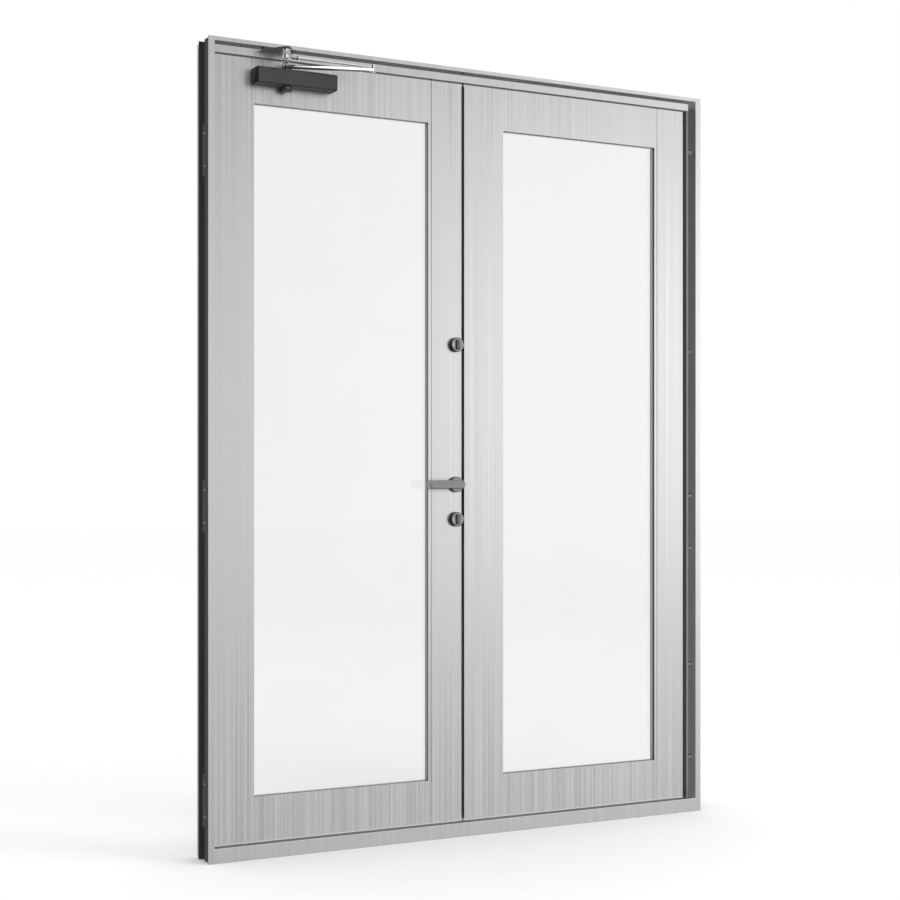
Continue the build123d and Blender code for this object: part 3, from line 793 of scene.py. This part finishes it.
def coat_finishes():
    """Enamel of the closer and the covers, a darker enamel on the closer's end caps as painted shade,
    and the matt edge of the folded sheet, pale as a painted highlight.
    """
    # Pale matt colour of the folded lip's edge: a painted highlight
    lip = ((0.66, 0.66, 0.65), (0.76, 0.76, 0.75))
    anchor = ((0.30, 0.30, 0.295), (0.40, 0.40, 0.395))
    case = ((0.018, 0.018, 0.018), (0.024, 0.024, 0.024))
    # A darker copy of the case's enamel for its end caps: painted shade
    case_end_shade = ((0.006, 0.006, 0.006), (0.009, 0.009, 0.009))
    bracket = ((0.022, 0.022, 0.022), (0.034, 0.034, 0.033))
    cover = ((0.022, 0.022, 0.022), (0.048, 0.048, 0.047))
    enamel = {"scale": 900.0, "bump": 0.06}
    return {
        "lip": coated("lip_painted_highlight", *lip, rough=0.5, scale=700.0, bump=0.05),
        "anchor": coated("anchor_steel", *anchor, rough=0.35, scale=900.0, bump=0.05, gloss=1.0),
        "closer": coated("closer_enamel", *case, rough=0.44, gloss=1.0, **enamel),
        "closer_end": coated("closer_end_painted_shade", *case_end_shade, rough=0.5, gloss=0.25, **enamel),
        "bracket": coated("bracket_enamel", *bracket, rough=0.40, gloss=1.0, **enamel),
        "cover": coated("guard_cover", *cover, rough=0.55, scale=1400.0, bump=0.10),
    }


def rubber_finishes():
    """Rubber of the seals and the grey seal profiles of the frame, with a painted highlight on the
    stops' front.
    """
    gasket = ((0.42, 0.417, 0.410), (0.48, 0.477, 0.468))
    sill_stop = ((0.15, 0.15, 0.148), (0.20, 0.20, 0.197))
    seal = ((0.05, 0.05, 0.05), (0.08, 0.08, 0.08))
    stop = ((0.045, 0.045, 0.045), (0.065, 0.065, 0.064))
    rubber = {"rough": 0.6, "scale": 500.0, "bump": 0.08}
    return {
        "gasket": coated("glazing_rubber", *gasket, **rubber),
        "sill_stop": coated("sill_stop_rubber", *sill_stop, **rubber),
        "seal": coated("seal_rubber", *seal, **rubber),
        "stop": coated(
            "stop_profile", *stop, rough=0.5, scale=500.0, bump=0.06, painted_zones=(STOP_FRONT_HIGHLIGHT,)
        ),
    }


def make_finishes():
    """All finishes of the door set."""
    return {
        **sheet_finishes(),
        **satin_finishes(),
        **polished_finishes(),
        **coat_finishes(),
        **rubber_finishes(),
        "glass": clear_glass(),
    }


def paint(node, material):
    """Gives a CAD node its finish."""
    piece = frame["nodes"][node]
    piece.data.materials.clear()
    piece.data.materials.append(material)


def paint_nodes(finish):
    """Each CAD node gets its finish, and the fixed ones are kept out of mirrored rays."""
    for side in ("left", "right"):
        for member in LEAF_MEMBERS:
            paint(f"{side}_leaf_{member}", finish["leaf"])
        for node, kind in SIDE_FINISHES.items():
            paint(f"{side}_{node}", finish[kind])
        frame["nodes"][f"{side}_leaf_glass"].visible_shadow = False
    for node, kind in NODE_FINISHES.items():
        paint(node, finish[kind])
    for node in FRAME_NODES:
        frame["nodes"][node].visible_glossy = False


# Added pieces

def anchor_screws(finish):
    """Countersunk screws in the anchor seats of the jambs and the head."""
    groups = {}
    for mount in frame["record"]["mounts"]:
        if mount["kind"] != "bolt_pattern":
            continue
        group = "head" if mount["name"].startswith("head") else mount["name"].split("_")[0] + "_jamb"
        facing = Vector(mount["axis"])
        seat = Vector(mount["pos_m"]) + facing * (ANCHOR_MOUNT_DEPTH - ANCHOR_SEAT_DEPTH)
        dims = mount["dims"]
        spacing = dims.get("spacing_x_mm", dims.get("spacing_y_mm")) / 1000
        along = Vector((1, 0, 0)) if group == "head" else UP
        for side in (-0.5, 0.5):
            groups.setdefault(group, []).append((seat + along * side * spacing, facing))
    for group, places in groups.items():
        surface = finish["turn"] if group == "head" else finish["anchor"]
        model = model_screw(*ANCHOR_SCREW)
        screws = set_out(model, f"{group}_screws", places, surface, "frame")
        screws.visible_glossy = False


def rear_lips(finish):
    """The folded edge of each jamb's rear lip, with rounded corners, in a pale matt colour that paints
    a highlight.
    """
    low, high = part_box("left_jamb")
    for side, sign in (("left", -1), ("right", 1)):
        across = sign * (JAMB_BOX_SIDE - LIP_WIDTH / 2)
        centre = (across, high[1] - LIP_BACK, (low[2] + high[2]) / 2)
        lip = model_block(centre, (LIP_WIDTH, LIP_THICK, high[2] - low[2]))
        round_edges(lambda edge: runs_along(edge, Z, 1.0), LIP_THICK * LIP_ROUNDING, 2)
        end_edit(lip)
        # The pale matt finish paints a highlight on the lip's edge
        dress(lip, f"{side}_jamb_rear_lip", finish["lip"], "frame")
        lip.visible_glossy = False


def model_cover(centre, size, sign):
    """A pressed cover with round corners, a raised rim and a sunk middle."""
    cover = model_block(centre, size)
    round_edges(lambda edge: runs_along(edge, X, COVER_THICK / 2), COVER_CORNER, 4)
    pick("FACE", lambda face: looks_along(face, X, sign))
    for rim in COVER_RIMS:
        bpy.ops.mesh.inset(thickness=rim)
    bpy.ops.transform.translate(value=(-sign * COVER_THICK * COVER_SINK, 0, 0))
    return end_edit(cover)


def guard_covers(finish):
    """Pressed covers over the hinge guards and the side of the jamb's box."""
    for side, sign in (("left", -1), ("right", 1)):
        low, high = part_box(f"{side}_hinge_guards")
        across = (low[0] if sign < 0 else high[0]) + sign * COVER_THICK / 2
        front, back = COVER_FRONT, high[1] - COVER_BACK_GAP
        size = (COVER_THICK, back - front, COVER_LENGTH)
        centres = [(across, (front + back) / 2, height) for height in HINGE_HEIGHTS]
        covers = [model_cover(centre, size, sign) for centre in centres]
        join(covers)
        covers[0].visible_glossy = False
        dress(covers[0], f"{side}_guard_covers", finish["cover"], "frame")


def guard_screws(finish):
    """Two small screws on the outer side of each hinge guard."""
    for side, sign in (("left", -1), ("right", 1)):
        low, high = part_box(f"{side}_hinge_guards")
        outer = (low[0] if sign < 0 else high[0]) + sign * COVER_THICK / 2
        depth = (COVER_FRONT + high[1]) / 2
        places = [
            ((outer, depth, height + step), (sign, 0, 0))
            for height in HINGE_HEIGHTS
            for step in (-GUARD_SCREW_STEP, GUARD_SCREW_STEP)
        ]
        model = model_screw(*GUARD_SCREW)
        screws = set_out(model, f"{side}_guard_screws", places, finish["screw"], "frame")
        screws.visible_glossy = False


def plate_screws(finish):
    """Flat screws at the ends of the lock face plates and the strike plates."""
    for node, body, sign in (("lock_face_plates", "left_leaf", 1), ("strike_plates", "right_leaf", -1)):
        low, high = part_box(node)
        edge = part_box("left_leaf_right_stile")[1][0] if sign > 0 else low[0]
        depth = (low[1] + high[1]) / 2
        upper_foot = TURN_HEIGHTS[0] - (high[2] - TURN_HEIGHTS[0])
        lower_head = LEVER_HEIGHT + (TURN_HEIGHTS[1] - low[2])
        heights = (
            high[2] - PLATE_SCREW_INSET,
            upper_foot + PLATE_SCREW_INSET,
            lower_head - PLATE_SCREW_INSET,
            low[2] + PLATE_SCREW_INSET,
        )
        places = [((edge, depth, height), (sign, 0, 0)) for height in heights]
        model = model_screw(*PLATE_SCREW)
        set_out(model, f"{node}_screws", places, finish["screw"], body)


def rose_rings(finish):
    """Turned rings on the faces of the roses."""
    low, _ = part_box("turn_roses")
    model = model_ring(*TURN_RING)
    places = [((LOCK_X, low[1], height), (0, -1, 0)) for height in TURN_HEIGHTS]
    set_out(model, "turn_rose_rings", places, finish["ring"], "left_leaf")
    low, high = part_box("lever_roses")
    model = model_ring(*LEVER_RING)
    places = [
        ((LOCK_X, low[1], LEVER_HEIGHT), (0, -1, 0)),
        ((LOCK_X, high[1], LEVER_HEIGHT), (0, 1, 0)),
    ]
    set_out(model, "lever_rose_rings", places, finish["lever_rose"], "left_leaf")


def model_cap(centre, size, sign):
    """An end cap with round corners and a broken edge."""
    cap = model_block(centre, size)
    round_edges(lambda edge: runs_along(edge, X, CAP_THICK / 2), CAP_CORNER, 4)
    pick("FACE", lambda face: looks_along(face, X, sign))
    bpy.ops.mesh.inset(thickness=CAP_RIM)
    bpy.ops.transform.translate(value=(sign * CAP_STEP, 0, 0))
    return end_edit(cap)


def closer_caps(finish):
    """End caps of the closer's case, darker as painted shade, and two adjusting screws in the right
    one.
    """
    low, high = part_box("closer_body")
    bottom = low[2] + CLOSER_BOSS
    depth, height = (low[1] + high[1]) / 2, (bottom + high[2]) / 2
    size = (CAP_THICK, high[1] - low[1] - CAP_MARGIN, high[2] - bottom - CAP_MARGIN)
    for end, x, sign in (("left", low[0], -1), ("right", high[0], 1)):
        cap = model_cap((x + sign * CAP_THICK / 2, depth, height), size, sign)
        # The caps take the darker enamel, which paints shade on the case's ends
        dress(cap, f"closer_{end}_cap", finish["closer_end"], "left_leaf")
    seat = high[0] + VALVE_SEAT
    places = [
        ((seat, depth, height - VALVE_SCREW_STEP), (1, 0, 0)),
        ((seat, depth, height + VALVE_SCREW_STEP), (1, 0, 0)),
    ]
    model = model_screw(*VALVE_SCREW)
    set_out(model, "closer_valve_screws", places, finish["screw"], "left_leaf")


def linkage_nuts(finish):
    """The nut and washer on the closer's spindle, and the nut and stud end at the bracket's pivot."""
    arm_top, arm_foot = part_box("closer_main_arm")[1][2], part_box("closer_main_arm")[0][2]
    eye_foot = FOREARM_HEAD[2] - FOREARM_EYE
    nut = model_nut(*SPINDLE_NUT)
    places = [((*SPINDLE, arm_top - SPINDLE_NUT_DROP), (0, 0, 1))]
    set_out(nut, "closer_spindle_nut", places, finish["chrome"], "closer_arm")
    nut = model_nut(*PIVOT_NUT)
    places = [((*PIVOT, eye_foot - PIVOT_NUT_DROP), (0, 0, 1))]
    set_out(nut, "closer_pivot_nut", places, finish["chrome"], "closer_link")
    end = model_screw(*PIVOT_END)
    places = [((*PIVOT, eye_foot - PIVOT_END_DROP), (0, 0, -1))]
    set_out(end, "closer_pivot_end", places, finish["plain"], "closer_link")
    washer = model_ring(*SPINDLE_WASHER)
    places = [((*SPINDLE, arm_foot + WASHER_LIFT), (0, 0, 1))]
    set_out(washer, "closer_spindle_washer", places, finish["plain"], "closer_arm")


def along_forearm(distance):
    """A place on the closer's forearm rod at a distance from its eye, and the rod's direction."""
    facing = Vector(FOREARM_FOOT) - Vector(FOREARM_HEAD)
    return Vector(FOREARM_HEAD) + facing.normalized() * distance, facing


def forearm_neck(finish):
    """The dark threaded neck between the forearm's eye and its sleeve, with a black lock ring."""
    neck = model_ring(*NECK)
    places = [along_forearm(NECK_START)]
    set_out(neck, "forearm_neck", places, finish["plain"], "closer_link")
    ring = model_ring(*LOCK_RING)
    places = [along_forearm(LOCK_RING_START)]
    set_out(ring, "forearm_lock_ring", places, finish["seal"], "closer_link")


def model_seal(low, high, test, radius):
    """A straight rubber seal between two corners, with the edges that a test accepts rounded."""
    centre = tuple((first + last) / 2 for first, last in zip(low, high))
    seal = model_block(centre, tuple(last - first for first, last in zip(low, high)))
    round_edges(test, radius, 3)
    return end_edit(seal)


def leaf_seals(finish):
    """Rubber seals under the leaves, just above the sill's bed."""
    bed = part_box("sill_stop")[0][2]
    inset_x, inset_y = BOTTOM_SEAL_INSET
    for side in ("left", "right"):
        first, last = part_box(f"{side}_leaf_left_stile"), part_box(f"{side}_leaf_right_stile")
        foot = bed + BOTTOM_SEAL_GAP
        seal = model_seal(
            (first[0][0] + inset_x, first[0][1] + inset_y, foot),
            (last[1][0] - inset_x, first[1][1] - inset_y, first[0][2]),
            lambda edge: at_height(edge, foot) and runs_along(edge, X, 0.1),
            BOTTOM_SEAL_ROUND,
        )
        dress(seal, f"{side}_leaf_bottom_seal", finish["seal"], f"{side}_leaf")


def meeting_edge_seal(finish):
    """A rubber seal down the left leaf's meeting edge, which closes the gap between the leaves."""
    low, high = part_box("left_leaf_right_stile")
    front, back = MEETING_SEAL_DEPTHS
    middle = high[0] + MEETING_SEAL_REACH / 2
    seal = model_seal(
        (high[0], high[1] - front, low[2] + MEETING_SEAL_INSET),
        (high[0] + MEETING_SEAL_REACH, high[1] - back, high[2] - MEETING_SEAL_INSET),
        lambda edge: runs_along(edge, Z, 1.0) and edge.verts[0].co.x > middle,
        MEETING_SEAL_ROUND,
    )
    dress(seal, "meeting_edge_seal", finish["seal"], "left_leaf")


make_camera()
make_world()
make_floor()
make_lamp()
finishes = make_finishes()
paint_nodes(finishes)
anchor_screws(finishes)
rear_lips(finishes)
guard_covers(finishes)
guard_screws(finishes)
plate_screws(finishes)
rose_rings(finishes)
closer_caps(finishes)
linkage_nuts(finishes)
forearm_neck(finishes)
leaf_seals(finishes)
meeting_edge_seal(finishes)
bpy.context.scene.view_settings.view_transform = "Standard"
